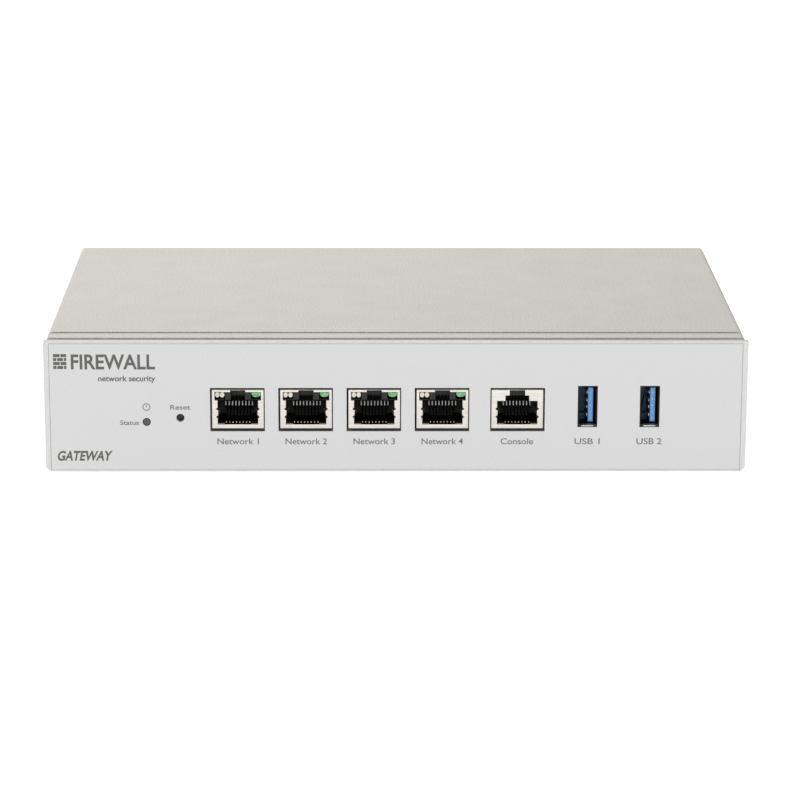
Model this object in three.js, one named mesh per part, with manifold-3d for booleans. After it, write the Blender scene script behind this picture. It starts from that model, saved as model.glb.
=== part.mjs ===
// A desktop firewall appliance: a folded steel case with a flat front panel that carries four
// Ethernet sockets, a console socket, two upright USB sockets, a status light and a reset button.
// Millimetres, +X to the right seen from the front, +Y to the rear, +Z up, ground at z = 0.

import * as THREE from 'three';
import { mergeVertices } from 'three/addons/utils/BufferGeometryUtils.js';
import Module from 'manifold-3d';

const wasm = await Module();
wasm.setup();

// ---- driving dimensions ----
const caseDepth = 132;          // front face to the rear edge of the cover
const caseTop = 44;             // ground to the top of the cover
const footHeight = 3.2;
const panelHalf = 106.2;        // half the front panel's width
const panelThickness = 2.2;
const shadowGap = 2.2;          // open groove all round between the panel's edge and the body
const grooveDepth = 2.6;
const bodyHalf = 105.8;         // half the width of the folded body behind the panel
const sheet = 1;                // gauge of the chassis and the cover
const stripEnd = 10.2;          // from the front face to the rear of the chassis' top strip
const coverGap = 1.7;           // open joint between that strip and the cover
const lipLength = 6;            // lip behind the strip that reaches under the cover
const foldRadius = 1.5;         // outside radius of the folds along the top edges
const stripFold = 0.3;          // outside radius of the fold at the front of the top strip
const rearRecess = 3.7;         // from the cover's rear edge in to the rear wall
const clearance = 0.1;          // between pieces that lie against each other

const socketFloor = 16.65;      // underside of the network sockets
const boardThickness = 1.6;
const ethernetFirst = -47.93;   // centre of the leftmost Ethernet socket
const ethernetPitch = 20.62;
const ethernetCount = 4;
const consoleCentre = 36.8;
const usbFirst = 58;
const usbPitch = 18.81;
const usbCount = 2;
const usbHeight = 23.65;        // height of the USB sockets' centre
const statusLight = { x: -75.41, z: 18.86 };
const resetHole = { x: -65.2, z: 20.14 };
const socketWindow = { width: 16.5, bottom: 15.9, top: 29.46 };
const usbWindow = { width: 6, height: 12.9 };
const smallHole = 1.25;         // radius of the status light's and the reset button's holes
const resetTravel = 0.5;

// ---- places that follow from them ----
const front = -caseDepth / 2;
const rear = caseDepth / 2;
const bodyFront = front + panelThickness + shadowGap;
const coverFront = front + stripEnd + coverGap;
const rearWall = rear - rearRecess;             // outer face of the rear wall
const floorTop = footHeight + sheet;
const boardTop = socketFloor - clearance;
const boardBottom = boardTop - boardThickness;
const coverInner = bodyHalf - sheet;            // inside face of the cover's side walls
const flangeOuter = coverInner - 0.2;           // outside face of the chassis' side flanges
const flangeTop = 16;

// ---- materials ----
const finish = (color, roughness, metalness) =>
  new THREE.MeshStandardMaterial({ color, roughness, metalness });
const warmPaint = () => finish('#d1cdc6', 0.6, 0);
const coolPaint = () => finish('#e2e3e1', 0.45, 0);
const faceFoil = () => finish('#dadbda', 0.4, 0);
const nickel = () => finish('#d6d2ca', 0.3, 1);
const zinc = () => finish('#b9bcc0', 0.35, 1);
const steel = () => finish('#8f9296', 0.4, 1);
const brass = () => finish('#c9a35a', 0.35, 1);
const aluminium = () => finish('#a9adb1', 0.4, 1);
const blackPlastic = () => finish('#17181a', 0.5, 0);
const greyPlastic = () => finish('#45484c', 0.5, 0);
const bluePlastic = () => finish('#3f8fd0', 0.4, 0);
const clearLens = () => finish('#d5d8d6', 0.2, 0);
const greenLens = () => finish('#b6d3b0', 0.2, 0);
const smokedLens = () => finish('#5b6064', 0.2, 0);
const boardGreen = () => finish('#1d4a32', 0.5, 0);
const chipBlack = () => finish('#1c1d1f', 0.6, 0);
const rubber = () => finish('#1a1a1a', 0.9, 0);

// ---- shapes ----

// A block between two opposite corners.
function block(x0, x1, y0, y1, z0, z1) {
  const geometry = new THREE.BoxGeometry(x1 - x0, y1 - y0, z1 - z0);
  return geometry.translate((x0 + x1) / 2, (y0 + y1) / 2, (z0 + z1) / 2);
}

// A round bar from one point to another along x, y or z.
function bar(axis, radius, from, to, segments = 20) {
  const [x, y, z] = from;
  const length = Math.abs(to - from['xyz'.indexOf(axis)]);
  const middle = (to + from['xyz'.indexOf(axis)]) / 2;
  const geometry = new THREE.CylinderGeometry(radius, radius, length, segments);
  if (axis === 'x') return geometry.rotateZ(Math.PI / 2).translate(middle, y, z);
  if (axis === 'y') return geometry.translate(x, middle, z);
  return geometry.rotateX(Math.PI / 2).translate(x, y, middle);
}

// An outline drawn in x and z, drawn out along y.
function alongY(outline, y0, y1, curveSegments = 6) {
  const settings = { depth: y1 - y0, bevelEnabled: false, curveSegments };
  return new THREE.ExtrudeGeometry(outline, settings).rotateX(Math.PI / 2).translate(0, y1, 0);
}

// An outline drawn in y and z, drawn out along x.
function alongX(outline, x0, x1, curveSegments = 6) {
  const settings = { depth: x1 - x0, bevelEnabled: false, curveSegments };
  const turn = new THREE.Matrix4().makeBasis(
    new THREE.Vector3(0, 1, 0), new THREE.Vector3(0, 0, 1), new THREE.Vector3(1, 0, 0));
  return new THREE.ExtrudeGeometry(outline, settings).applyMatrix4(turn).translate(x0, 0, 0);
}

// A profile of [radius, height] points turned round the z axis.
function turned(points, segments = 20) {
  const profile = points.map(([radius, z]) => new THREE.Vector2(radius, z));
  return new THREE.LatheGeometry(profile, segments).rotateX(Math.PI / 2);
}

// A rectangle as an outline or as a hole in one.
function rectangle(x0, x1, z0, z1, Kind = THREE.Shape) {
  const outline = new Kind();
  outline.moveTo(x0, z0);
  outline.lineTo(x1, z0);
  outline.lineTo(x1, z1);
  outline.lineTo(x0, z1);
  outline.closePath();
  return outline;
}

// A slot with round ends that stands upright.
function uprightSlot(x, z, width, height) {
  const outline = new THREE.Shape();
  const reach = (height - width) / 2;
  outline.absarc(x, z + reach, width / 2, 0, Math.PI, false);
  outline.absarc(x, z - reach, width / 2, Math.PI, 2 * Math.PI, false);
  return outline;
}

// A box outline whose two upper corners are round.
function archOutline(half, bottom, top, radius) {
  const outline = new THREE.Shape();
  outline.moveTo(-half, bottom);
  outline.lineTo(half, bottom);
  outline.absarc(half - radius, top - radius, radius, 0, Math.PI / 2, false);
  outline.absarc(-half + radius, top - radius, radius, Math.PI / 2, Math.PI, false);
  outline.closePath();
  return outline;
}

// ---- joining and cutting ----
function toSolid(geometry) {
  const bare = geometry.clone();
  bare.deleteAttribute('normal');
  bare.deleteAttribute('uv');
  const merged = mergeVertices(bare, 1e-4);
  return new wasm.Manifold(new wasm.Mesh({
    numProp: 3,
    vertProperties: new Float32Array(merged.attributes.position.array),
    triVerts: new Uint32Array(merged.index.array),
  }));
}

function toGeometry(solid) {
  const mesh = solid.getMesh();
  const geometry = new THREE.BufferGeometry();
  geometry.setAttribute('position', new THREE.BufferAttribute(mesh.vertProperties, 3));
  geometry.setIndex(new THREE.BufferAttribute(mesh.triVerts, 1));
  geometry.computeVertexNormals();
  return geometry;
}

function join(...pieces) {
  return toGeometry(pieces.map(toSolid).reduce((sum, piece) => sum.add(piece)));
}

function cut(body, ...tools) {
  return toGeometry(tools.map(toSolid).reduce((rest, tool) => rest.subtract(tool), toSolid(body)));
}

function overlapOf(one, other) {
  return toGeometry(toSolid(one).intersect(toSolid(other)));
}

// ---- the scene graph ----
const appliance = new THREE.Group();

function add(parent, name, geometry, material) {
  const mesh = new THREE.Mesh(geometry, material);
  mesh.name = name;
  parent.add(mesh);
  return mesh;
}

function groupAt(parent, x, y, z) {
  const group = new THREE.Group();
  group.position.set(x, y, z);
  parent.add(group);
  return group;
}

const evenly = (first, pitch, count) => Array.from({ length: count }, (_, i) => first + i * pitch);
const ethernetCentres = evenly(ethernetFirst, ethernetPitch, ethernetCount);
const socketCentres = [...ethernetCentres, consoleCentre];
const usbCentres = evenly(usbFirst, usbPitch, usbCount);

// The openings that the panel, its face sheet and the chassis' front wall share, each wider by grow.
function frontOpenings(y0, y1, grow) {
  const openings = [];
  for (const x of socketCentres) {
    const half = socketWindow.width / 2 + grow;
    openings.push(block(x - half, x + half, y0, y1, socketWindow.bottom - grow, socketWindow.top + grow));
  }
  for (const x of usbCentres) {
    const half = usbWindow.width / 2 + grow;
    const reach = usbWindow.height / 2 + grow;
    openings.push(block(x - half, x + half, y0, y1, usbHeight - reach, usbHeight + reach));
  }
  for (const { x, z } of [statusLight, resetHole]) {
    openings.push(bar('y', smallHole + grow, [x, y0, z], y1));
  }
  return openings;
}

// ---- case ----

// Front frame of the chassis: front wall, top strip and side returns, folded from one sheet.
function chassisFrame() {
  const frameEnd = front + stripEnd;
  const outerSide = new THREE.Shape();
  outerSide.moveTo(bodyFront, footHeight);
  outerSide.lineTo(frameEnd, footHeight);
  outerSide.lineTo(frameEnd, caseTop);
  outerSide.absarc(bodyFront + stripFold, caseTop - stripFold, stripFold, Math.PI / 2, Math.PI, false);
  outerSide.closePath();
  const outer = overlapOf(
    alongY(archOutline(bodyHalf, footHeight, caseTop, foldRadius), bodyFront, frameEnd),
    alongX(outerSide, -bodyHalf, bodyHalf));
  const inside = foldRadius - sheet;
  const hollow = alongY(
    archOutline(bodyHalf - sheet, floorTop, caseTop - sheet, inside), bodyFront + sheet, frameEnd + 1, 3);
  // A joggled lip behind the strip closes the joint from below.
  const ring = (drop, y0, y1) =>
    alongY(archOutline(bodyHalf - drop, footHeight, caseTop - drop, inside), y0, y1, 3);
  const lipStart = frameEnd - 1.5;
  const lipEnd = frameEnd + lipLength;
  const lip = join(ring(sheet + 2 * clearance, lipStart, lipEnd), ring(sheet / 2, lipStart, frameEnd - 0.3));
  const under = archOutline(bodyHalf - 2 * sheet, floorTop, caseTop - 2 * sheet, inside);
  return join(cut(outer, hollow), cut(lip, alongY(under, lipStart - 1, lipEnd + 1, 3)));
}

// The hole for the power inlet, the power switch and the lock, and the rear vents.
const inlet = { x: -86, z: 23, radius: 4.4 };
const powerSwitch = { x: -62, z: 24, half: 4.6, reach: 7 };
const rearVents = { first: -30, pitch: 5, count: 20, width: 2.4, height: 14, z: 25 };
const lockSlot = { x: 92, z: 22, width: 7, height: 3 };

function rearWallHoles() {
  const y0 = rearWall - 2 * sheet;
  const y1 = rearWall + sheet;
  const { x, z, half, reach } = powerSwitch;
  const gap = 2 * clearance;
  const holes = [bar('y', inlet.radius + 0.3, [inlet.x, y0, inlet.z], y1)];
  holes.push(block(x - half - gap, x + half + gap, y0, y1, z - reach - gap, z + reach + gap));
  holes.push(block(
    lockSlot.x - lockSlot.width / 2, lockSlot.x + lockSlot.width / 2, y0, y1,
    lockSlot.z - lockSlot.height / 2, lockSlot.z + lockSlot.height / 2));
  for (let i = 0; i < rearVents.count; i++) {
    const centre = rearVents.first + i * rearVents.pitch;
    const slot = uprightSlot(centre, rearVents.z, rearVents.width, rearVents.height);
    holes.push(alongY(slot, y0, y1, 4));
  }
  return holes;
}

const coverScrew = { ys: [-38, 44], z: 10, head: 2.6, shank: 1.4 };

function chassisBase() {
  const wallIn = rearWall - sheet;
  const folds = [
    block(-flangeOuter, flangeOuter, bodyFront + sheet / 2, rear - 0.5, footHeight, floorTop),
    block(-flangeOuter, flangeOuter, wallIn, rearWall, footHeight, caseTop - sheet - 2 * clearance),
    block(-flangeOuter, -flangeOuter + sheet, bodyFront + sheet, rearWall, footHeight, flangeTop),
    block(flangeOuter - sheet, flangeOuter, bodyFront + sheet, rearWall, footHeight, flangeTop),
  ];
  const { ys, z, shank } = coverScrew;
  const screwHoles = ys.flatMap((y) => [-1, 1].map((side) =>
    bar('x', shank + clearance, [side * (flangeOuter - 2), y, z], side * (flangeOuter + 1), 12)));
  return cut(
    join(chassisFrame(), ...folds),
    ...frontOpenings(bodyFront - 1, bodyFront + sheet + 0.5, 0.25),
    ...rearWallHoles(),
    ...screwHoles);
}

const sideVents = { first: -14, pitch: 4.6, count: 15, width: 2.2, height: 16, z: 25 };

function topCover() {
  const outer = alongY(archOutline(bodyHalf, footHeight, caseTop, foldRadius), coverFront, rear);
  const inside = archOutline(coverInner, footHeight - 1, caseTop - sheet, foldRadius - sheet);
  const inner = alongY(inside, coverFront - 1, rear + 1, 3);
  const vents = [];
  for (let i = 0; i < sideVents.count; i++) {
    const y = sideVents.first + i * sideVents.pitch;
    const slot = uprightSlot(y, sideVents.z, sideVents.width, sideVents.height);
    vents.push(alongX(slot, -bodyHalf - 1, bodyHalf + 1, 4));
  }
  const { ys, z, head, shank } = coverScrew;
  const holes = ys.flatMap((y) => [-1, 1].map((side) => {
    const profile = [[0, -3], [shank + clearance, -3], [shank + clearance, -sheet], [head + clearance, 0],
      [head + clearance, 1], [0, 1]];
    return turned(profile, 16).rotateY(side * Math.PI / 2).translate(side * bodyHalf, y, z);
  }));
  return cut(outer, inner, ...vents, ...holes);
}

// The panel is a plate with a raised rim in front and a set-back step behind.
const rim = { side: 1.6, top: 0.7, bottom: 0.6, depth: 0.35, corner: 1.3 };

function frontPanel() {
  const outline = new THREE.Shape();
  outline.moveTo(-panelHalf + rim.corner, footHeight);
  outline.lineTo(panelHalf - rim.corner, footHeight);
  outline.lineTo(panelHalf, footHeight + rim.corner);
  outline.lineTo(panelHalf, caseTop);
  outline.lineTo(-panelHalf, caseTop);
  outline.lineTo(-panelHalf, footHeight + rim.corner);
  outline.closePath();
  const recess = block(
    -panelHalf + rim.side, panelHalf - rim.side, front - 1, front + rim.depth,
    footHeight + rim.bottom, caseTop - rim.top);
  const back = bodyFront - clearance;
  const plate = alongY(outline, front, front + panelThickness);
  const step = block(
    -bodyHalf + grooveDepth, bodyHalf - grooveDepth, front + panelThickness - 0.5, back,
    footHeight + grooveDepth, caseTop - grooveDepth);
  return cut(join(plate, step), recess, ...frontOpenings(front - 1, back + 1, 0));
}

function faceSheet() {
  const edge = clearance;
  const foil = block(
    -panelHalf + rim.side + edge, panelHalf - rim.side - edge, front + 0.05, front + rim.depth - 0.05,
    footHeight + rim.bottom + edge, caseTop - rim.top - edge);
  return cut(foil, ...frontOpenings(front - 1, front + 1, 0));
}

const footSetting = { x: 92, y: 44, tread: 5.2, radius: 6 };

function foot() {
  const { tread, radius } = footSetting;
  const top = footHeight - 0.05;
  return turned([[0, 0], [tread, 0], [radius - 0.2, 0.5], [radius, top], [0, top]], 24);
}

// Countersunk screw that points along -z, its head flush with z = 0.
function countersunkScrew() {
  const { head, shank } = coverScrew;
  const screw = turned([[0, -5], [shank, -5], [shank, -sheet], [head, -0.02], [0, -0.02]], 16);
  const cross = join(block(-1.4, 1.4, -0.3, 0.3, -0.6, 1), block(-0.3, 0.3, -1.4, 1.4, -0.6, 1));
  return cut(screw, cross);
}

// ---- sockets on the front ----
// Each is drawn round its own centre line, with y = 0 at the front face and z = 0 at its underside.
const socket = { half: 7.95, height: 12.35, depth: 21, gauge: 0.3, inset: 0.15 };
const plugWay = { half: 6.13, bottom: 1.39, top: 9.19 };
const latchWay = { half: 2.28, top: 12.05 };
const lampWay = { half: 7.03, bottom: 9.15, top: 11.52 };      // opening across both light pipes
const lensSpans = { link: [-7.02, -3.86], activity: [4.05, 7.03] };
const consoleSteps = [{ half: 6.13, top: 8.8 }, { half: 3.6, top: 10.45 }, { half: 2.35, top: 12.05 }];

// The plug's body goes in to depth, the latch above it only to latchDepth.
function plugWayCuts(depth, latchDepth, steps, shrink) {
  return steps.map(({ half, top }, i) => {
    const bottom = i === 0 ? plugWay.bottom + shrink : steps[i - 1].top - 1;
    return block(-half + shrink, half - shrink, -1, i === 0 ? depth : latchDepth, bottom, top - shrink);
  });
}

const ethernetSteps = [{ half: plugWay.half, top: plugWay.top }, { half: latchWay.half, top: latchWay.top }];

function socketShield(steps, hasLenses) {
  const { half, height, depth, gauge, inset } = socket;
  const can = block(-half, half, inset, depth, 0, height);
  const hollow = block(-half + gauge, half - gauge, inset + gauge, depth - gauge, -1, height - gauge);
  const openings = plugWayCuts(1, 1, steps, 0);
  if (hasLenses) openings.push(block(-lampWay.half, lampWay.half, -1, 1, lampWay.bottom, lampWay.top));
  return cut(can, hollow, ...openings);
}

function socketHousing(steps, hasLenses) {
  const { half, height, depth, gauge, inset } = socket;
  const gap = gauge + clearance;
  const insulator = block(-half + gap, half - gap, inset + gap, depth - gap, 0, height - gap);
  const ways = plugWayCuts(13, 7, steps, 0.12);
  if (hasLenses) {
    for (const [x0, x1] of Object.values(lensSpans)) {
      ways.push(block(x0 - gap, x1 + gap, -1, 7, lampWay.bottom, lampWay.top + clearance));
    }
  }
  return cut(insulator, ...ways);
}

function socketLens([x0, x1]) {
  const gap = clearance;
  return block(x0 + gap, x1 - gap, socket.inset + 0.05, 6.5, lampWay.bottom + gap, lampWay.top - gap);
}

function addNetworkSocket(name, x, steps, hasLenses) {
  const place = groupAt(appliance, x, front, socketFloor);
  add(place, `${name}_shield`, socketShield(steps, hasLenses), nickel());
  add(place, `${name}_housing`, socketHousing(steps, hasLenses), blackPlastic());
  if (!hasLenses) return;
  add(place, `${name}_link_lens`, socketLens(lensSpans.link), clearLens());
  add(place, `${name}_activity_lens`, socketLens(lensSpans.activity), greenLens());
}

const usb = { half: 2.85, reach: 6.35, depth: 17, gauge: 0.3, inset: 0.1 };
const usbTongue = { left: 0.1, right: 1.8, reach: 5.4, lift: 0.15, tip: 1.5, root: 12.6 };

function usbShell() {
  const { half, reach, depth, gauge, inset } = usb;
  return cut(
    block(-half, half, inset, depth, -reach, reach),
    block(-half + gauge, half - gauge, inset - 1, depth + 1, -reach + gauge, reach - gauge));
}

function usbInsulator() {
  const gap = usb.gauge + clearance;
  const { left, right, reach, lift, tip, root } = usbTongue;
  const rootBlock = block(
    -usb.half + gap, usb.half - gap, root, usb.depth - clearance, -usb.reach + gap, usb.reach - gap);
  return join(rootBlock, block(left, right, tip, root + 0.5, lift - reach, lift + reach));
}

function addUsbSocket(name, x) {
  const place = groupAt(appliance, x, front, usbHeight);
  add(place, `${name}_shell`, usbShell(), nickel());
  add(place, `${name}_insulator`, usbInsulator(), bluePlastic());
}

// ---- status light and reset button ----
const wallDepth = panelThickness + shadowGap + sheet;   // front face to the inside of the front wall
const resetSwitch = { half: 3, front: 7.4, back: 12, top: 23.4, wayDepth: 2.8 };

function statusPipe() {
  const lensRadius = smallHole - clearance;
  return join(
    bar('y', lensRadius, [0, 0.1, 0], wallDepth + 1, 16),
    bar('y', lensRadius + 0.6, [0, wallDepth + 0.15, 0], wallDepth + 5, 16));
}

function resetPlunger() {
  const tip = bar('y', 0.95, [0, 1.6, 0], resetSwitch.front + 1.6, 16);
  const collar = bar('y', 1.6, [0, wallDepth + 0.3, 0], resetSwitch.front - resetTravel - 0.3, 16);
  return join(tip, collar);
}

function resetSwitchBody() {
  const { half, front: near, back, top, wayDepth } = resetSwitch;
  const body = block(-half, half, near, back, boardTop + clearance - resetHole.z, top - resetHole.z);
  return cut(body, bar('y', 1.2, [0, near - 1, 0], near + wayDepth, 16));
}

// ---- inside ----
const board = { half: 100, front: -60.2, back: 60.5 };
const boardHoles = [[-95, -54], [95, -54], [-95, 55], [95, 55]];
const sinkPlace = { x: -14, y: 2 };
const sink = { half: 29, wing: 36, reach: 30, base: 4, height: 19, fins: 13, fin: 1.3 };
const sinkScrews = [[-32.5, -24], [32.5, 24]];
const chip = { half: 13.5, substrate: 1, dieHalf: 8, height: 2.2 };
const sinkBottom = boardTop + chip.height + 2 * clearance;

function mainBoard() {
  const plate = block(-board.half, board.half, board.front, board.back, boardBottom, boardTop);
  const mounting = boardHoles.map(([x, y]) => bar('z', 1.7, [x, y, boardBottom - 1], boardTop + 1, 16));
  const sinkHoles = sinkScrews.map(([x, y]) =>
    bar('z', 1.7, [sinkPlace.x + x, sinkPlace.y + y, boardBottom - 1], boardTop + 1, 16));
  return cut(plate, ...mounting, ...sinkHoles);
}

function standoff() {
  const length = boardBottom - floorTop - 2 * clearance;
  return cut(bar('z', 3.2, [0, 0, -length], 0, 6), bar('z', 1.4, [0, 0, -6], 1, 12));
}

function panHeadScrew(length, radius) {
  const head = [[radius, 0], [2 * radius, 0], [2 * radius, 0.9], [1.5 * radius, 1.5], [0, 1.5]];
  const screw = turned([[0, -length], [radius, -length], ...head], 12);
  return cut(screw, block(-radius, radius, -0.3, 0.3, 0.8, 2));
}

function processor() {
  const { half, substrate, dieHalf, height } = chip;
  return join(
    block(-half, half, -half, half, 0, substrate),
    block(-dieHalf, dieHalf, -dieHalf, dieHalf, substrate / 2, height));
}

function heatSink() {
  const outline = new THREE.Shape();
  const pitch = (2 * sink.half - sink.fin) / (sink.fins - 1);
  outline.moveTo(-sink.wing, 0);
  outline.lineTo(sink.wing, 0);
  outline.lineTo(sink.wing, sink.base);
  for (let i = sink.fins - 1; i >= 0; i--) {
    const left = -sink.half + i * pitch;
    outline.lineTo(left + sink.fin, sink.base);
    outline.lineTo(left + sink.fin, sink.height);
    outline.lineTo(left, sink.height);
    outline.lineTo(left, sink.base);
  }
  outline.lineTo(-sink.wing, sink.base);
  outline.closePath();
  const holes = sinkScrews.map(([x, y]) => bar('z', 1.7, [x, y, -1], sink.base + 1, 16));
  return cut(alongY(outline, -sink.reach, sink.reach), ...holes);
}

const memory = { x: 62, y: 18, half: 33.8, length: 30, lift: 2.2, thickness: 1 };

// A socket body with a slot in its front face for the edge of a module.
function moduleSocket(body, { half, lift, thickness }, slotDepth) {
  const gap = 2 * clearance;
  return cut(body, block(-half - gap, half + gap, -1, slotDepth, lift - gap, lift + thickness + gap));
}

function memorySocket() {
  return moduleSocket(block(-36.5, 36.5, 0, 6, 0, 5), memory, 3);
}

function memoryModule() {
  const { half, length, lift, thickness } = memory;
  const pieces = [block(-half, half, -length + 2.5, 2.5, lift, lift + thickness)];
  for (let i = 0; i < 4; i++) {
    const x = -half + 4 + i * 16.2;
    pieces.push(block(x, x + 12, -length + 6, -length + 20, lift + thickness / 2, lift + thickness + 1.1));
  }
  return join(...pieces);
}

const storage = { x: -74, y: 20, half: 11, length: 42, lift: 2, thickness: 0.8 };

function storageSocket() {
  return moduleSocket(block(-11.8, 11.8, 0, 6.5, 0, 4.2), storage, 4);
}

function storageModule() {
  const { half, length, lift, thickness } = storage;
  const chips = [-30, -14].map((y) =>
    block(-8, 8, y - 6, y + 6, lift + thickness / 2, lift + thickness + 1.2));
  return join(block(-half, half, -length + 3.5, 3.5, lift, lift + thickness), ...chips);
}

const coin = { x: 52, y: 42, radius: 10, thickness: 3.2, floor: 1 };

function batteryHolder() {
  return cut(
    block(-12, 12, -11.5, 11.5, 0, 4.8),
    bar('z', coin.radius + 0.3, [0, 0, coin.floor], 6, 32));
}

// ---- rear ----
const inletBody = {
  half: 4.5, front: 48.5, back: rearWall - sheet - 0.5, noseEnd: rearWall + 0.9, bore: 3.2, floor: 53,
};
const inletPin = { radius: 1, front: 49, back: inletBody.noseEnd - 0.6 };

function powerInlet() {
  const { half, front: near, back, noseEnd, bore, floor } = inletBody;
  const body = join(
    block(-half, half, near, back, boardTop + clearance - inlet.z, 5.5),
    bar('y', inlet.radius, [0, back - 1, 0], noseEnd, 24));
  return cut(
    body,
    bar('y', bore, [0, floor, 0], noseEnd + 1, 24),
    bar('y', inletPin.radius + clearance, [0, near - 1, 0], floor + 1, 12));
}

const rocker = { half: 3.6, reach: 5.6, lip: 3, tilt: 12, pin: 1, hingeY: rearWall - 0.8 };
const switchFrame = { front: 50, bezel: 1.5, lip: 0.9, wellHalf: 3.8, wellReach: 6.3 };

function powerSwitchFrame() {
  const { half, reach } = powerSwitch;
  const { front: near, bezel, lip, wellHalf, wellReach } = switchFrame;
  const bezelStart = rearWall + clearance;
  const body = join(
    block(-half, half, near, bezelStart + 0.5, -reach, reach),
    block(-half - lip, half + lip, bezelStart, rearWall + bezel, -reach - lip, reach + lip));
  const well = block(-wellHalf, wellHalf, rocker.hingeY - 5, rear, -wellReach, wellReach);
  const pinHole = bar('x', rocker.pin + 0.2, [-wellHalf - 0.5, rocker.hingeY, 0], wellHalf + 0.5, 16);
  return cut(body, well, pinHole);
}

// The rocker is drawn level, round its own hinge line.
function powerRocker() {
  const { half, reach, lip, pin } = rocker;
  const outline = new THREE.Shape();
  outline.moveTo(lip, -reach);
  outline.lineTo(lip - 1.1, 0);
  outline.lineTo(lip, reach);
  outline.lineTo(-1.4, reach - 0.6);
  outline.lineTo(-2.6, 0);
  outline.lineTo(-1.4, -reach + 0.6);
  outline.closePath();
  const pinReach = switchFrame.wellHalf + 0.3;
  return join(alongX(outline, -half, half), bar('x', pin, [-pinReach, 0, 0], pinReach, 16));
}

// ---- assembly ----
add(appliance, 'chassis_base', chassisBase(), warmPaint());
add(appliance, 'top_cover', topCover(), warmPaint());
add(appliance, 'front_panel', frontPanel(), coolPaint());
add(appliance, 'front_face_sheet', faceSheet(), faceFoil());

const sides = [['left', -1], ['right', 1]];
const ends = [['front', -footSetting.y, coverScrew.ys[0]], ['rear', footSetting.y, coverScrew.ys[1]]];
for (const [end, footY, screwY] of ends) {
  for (const [side, sign] of sides) {
    add(groupAt(appliance, sign * footSetting.x, footY, 0), `foot_${end}_${side}`, foot(), rubber());
    const screwPlace = groupAt(appliance, sign * bodyHalf, screwY, coverScrew.z);
    screwPlace.rotation.y = sign * Math.PI / 2;
    add(screwPlace, `cover_screw_${end}_${side}`, countersunkScrew(), zinc());
  }
}

ethernetCentres.forEach((x, i) => addNetworkSocket(`ethernet_${i + 1}`, x, ethernetSteps, true));
addNetworkSocket('console', consoleCentre, consoleSteps, false);
usbCentres.forEach((x, i) => addUsbSocket(`usb_${i + 1}`, x));

add(groupAt(appliance, statusLight.x, front, statusLight.z), 'status_light_pipe', statusPipe(), smokedLens());
const resetPlace = groupAt(appliance, resetHole.x, front, resetHole.z);
add(resetPlace, 'reset_button', resetPlunger(), greyPlastic());
add(resetPlace, 'reset_switch_body', resetSwitchBody(), chipBlack());

add(appliance, 'main_board', mainBoard(), boardGreen());
boardHoles.forEach(([x, y], i) => {
  const under = groupAt(appliance, x, y, boardBottom - clearance);
  const over = groupAt(appliance, x, y, boardTop + clearance);
  add(under, `standoff_${i + 1}`, standoff(), brass());
  add(over, `board_screw_${i + 1}`, panHeadScrew(5.5, 1.25), zinc());
});

const chipPlace = groupAt(appliance, sinkPlace.x, sinkPlace.y, boardTop + clearance);
add(chipPlace, 'processor', processor(), chipBlack());
const sinkGroup = groupAt(appliance, sinkPlace.x, sinkPlace.y, sinkBottom);
add(sinkGroup, 'heat_sink', heatSink(), aluminium());
sinkScrews.forEach(([x, y], i) => {
  const place = groupAt(sinkGroup, x, y, sink.base + clearance);
  add(place, `heat_sink_screw_${i + 1}`, panHeadScrew(9, 1.4), steel());
});

const memoryPlace = groupAt(appliance, memory.x, memory.y, boardTop + clearance);
add(memoryPlace, 'memory_socket', memorySocket(), chipBlack());
add(memoryPlace, 'memory_module', memoryModule(), boardGreen());
const storagePlace = groupAt(appliance, storage.x, storage.y, boardTop + clearance);
add(storagePlace, 'storage_socket', storageSocket(), chipBlack());
add(storagePlace, 'storage_module', storageModule(), boardGreen());
const coinPlace = groupAt(appliance, coin.x, coin.y, boardTop + clearance);
add(coinPlace, 'battery_holder', batteryHolder(), chipBlack());
const cellBase = coin.floor + clearance;
add(coinPlace, 'coin_cell', bar('z', coin.radius, [0, 0, cellBase], cellBase + coin.thickness, 32), steel());

const inletPlace = groupAt(appliance, inlet.x, 0, inlet.z);
add(inletPlace, 'power_inlet_body', powerInlet(), blackPlastic());
const pin = bar('y', inletPin.radius, [0, inletPin.front, 0], inletPin.back, 12);
add(inletPlace, 'power_inlet_pin', pin, nickel());
const switchPlace = groupAt(appliance, powerSwitch.x, 0, powerSwitch.z);
add(switchPlace, 'power_switch_frame', powerSwitchFrame(), blackPlastic());
const hinge = groupAt(switchPlace, 0, rocker.hingeY, 0);
hinge.rotation.x = THREE.MathUtils.degToRad(-rocker.tilt);
add(hinge, 'power_rocker', powerRocker(), blackPlastic());

export default appliance;
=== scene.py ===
# Desktop firewall appliance: finished pieces, materials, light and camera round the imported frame.
import math
import bmesh
import bpy
from mathutils import Matrix, Vector


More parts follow.
